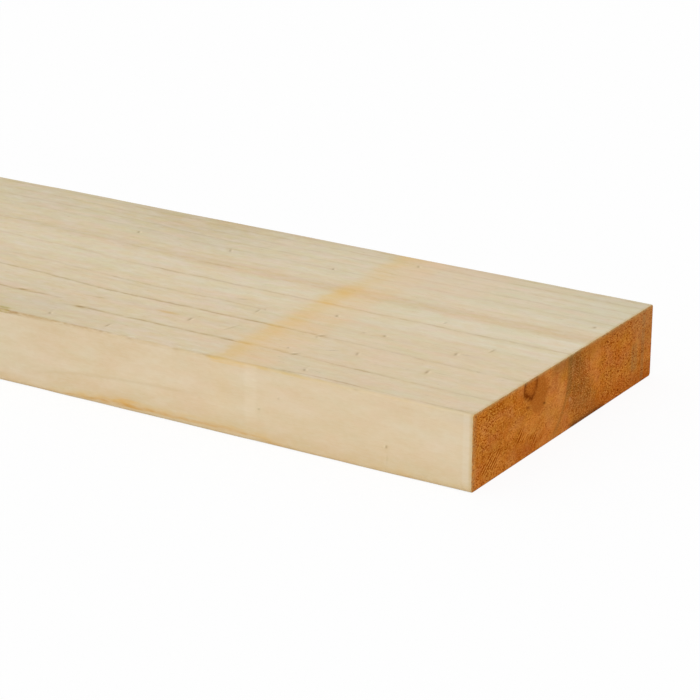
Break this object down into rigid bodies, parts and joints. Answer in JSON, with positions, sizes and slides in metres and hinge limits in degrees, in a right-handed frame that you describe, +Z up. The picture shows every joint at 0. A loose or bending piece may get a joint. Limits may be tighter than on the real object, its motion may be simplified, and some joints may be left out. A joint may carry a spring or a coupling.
{
  "type": "timber lumber plank",
  "caption": "Straight length of dressed softwood timber with eased long arrises and square sawn ends, for framing, shelving and decking.",
  "frame": {"origin": "middle of the underside, where the plank rests", "axes": "+X along the grain, towards the end with the dark pith mark, +Y across the width, +Z up through the thickness"},
  "size_m": [2.438, 0.184, 0.038],
  "materials": {
    "planed_softwood": "planed on all four sides and left bare, sawn on the ends, matt"
  },
  "bodies": {
    "root": {"plank": "planed_softwood"}
  },
  "joints": []
}
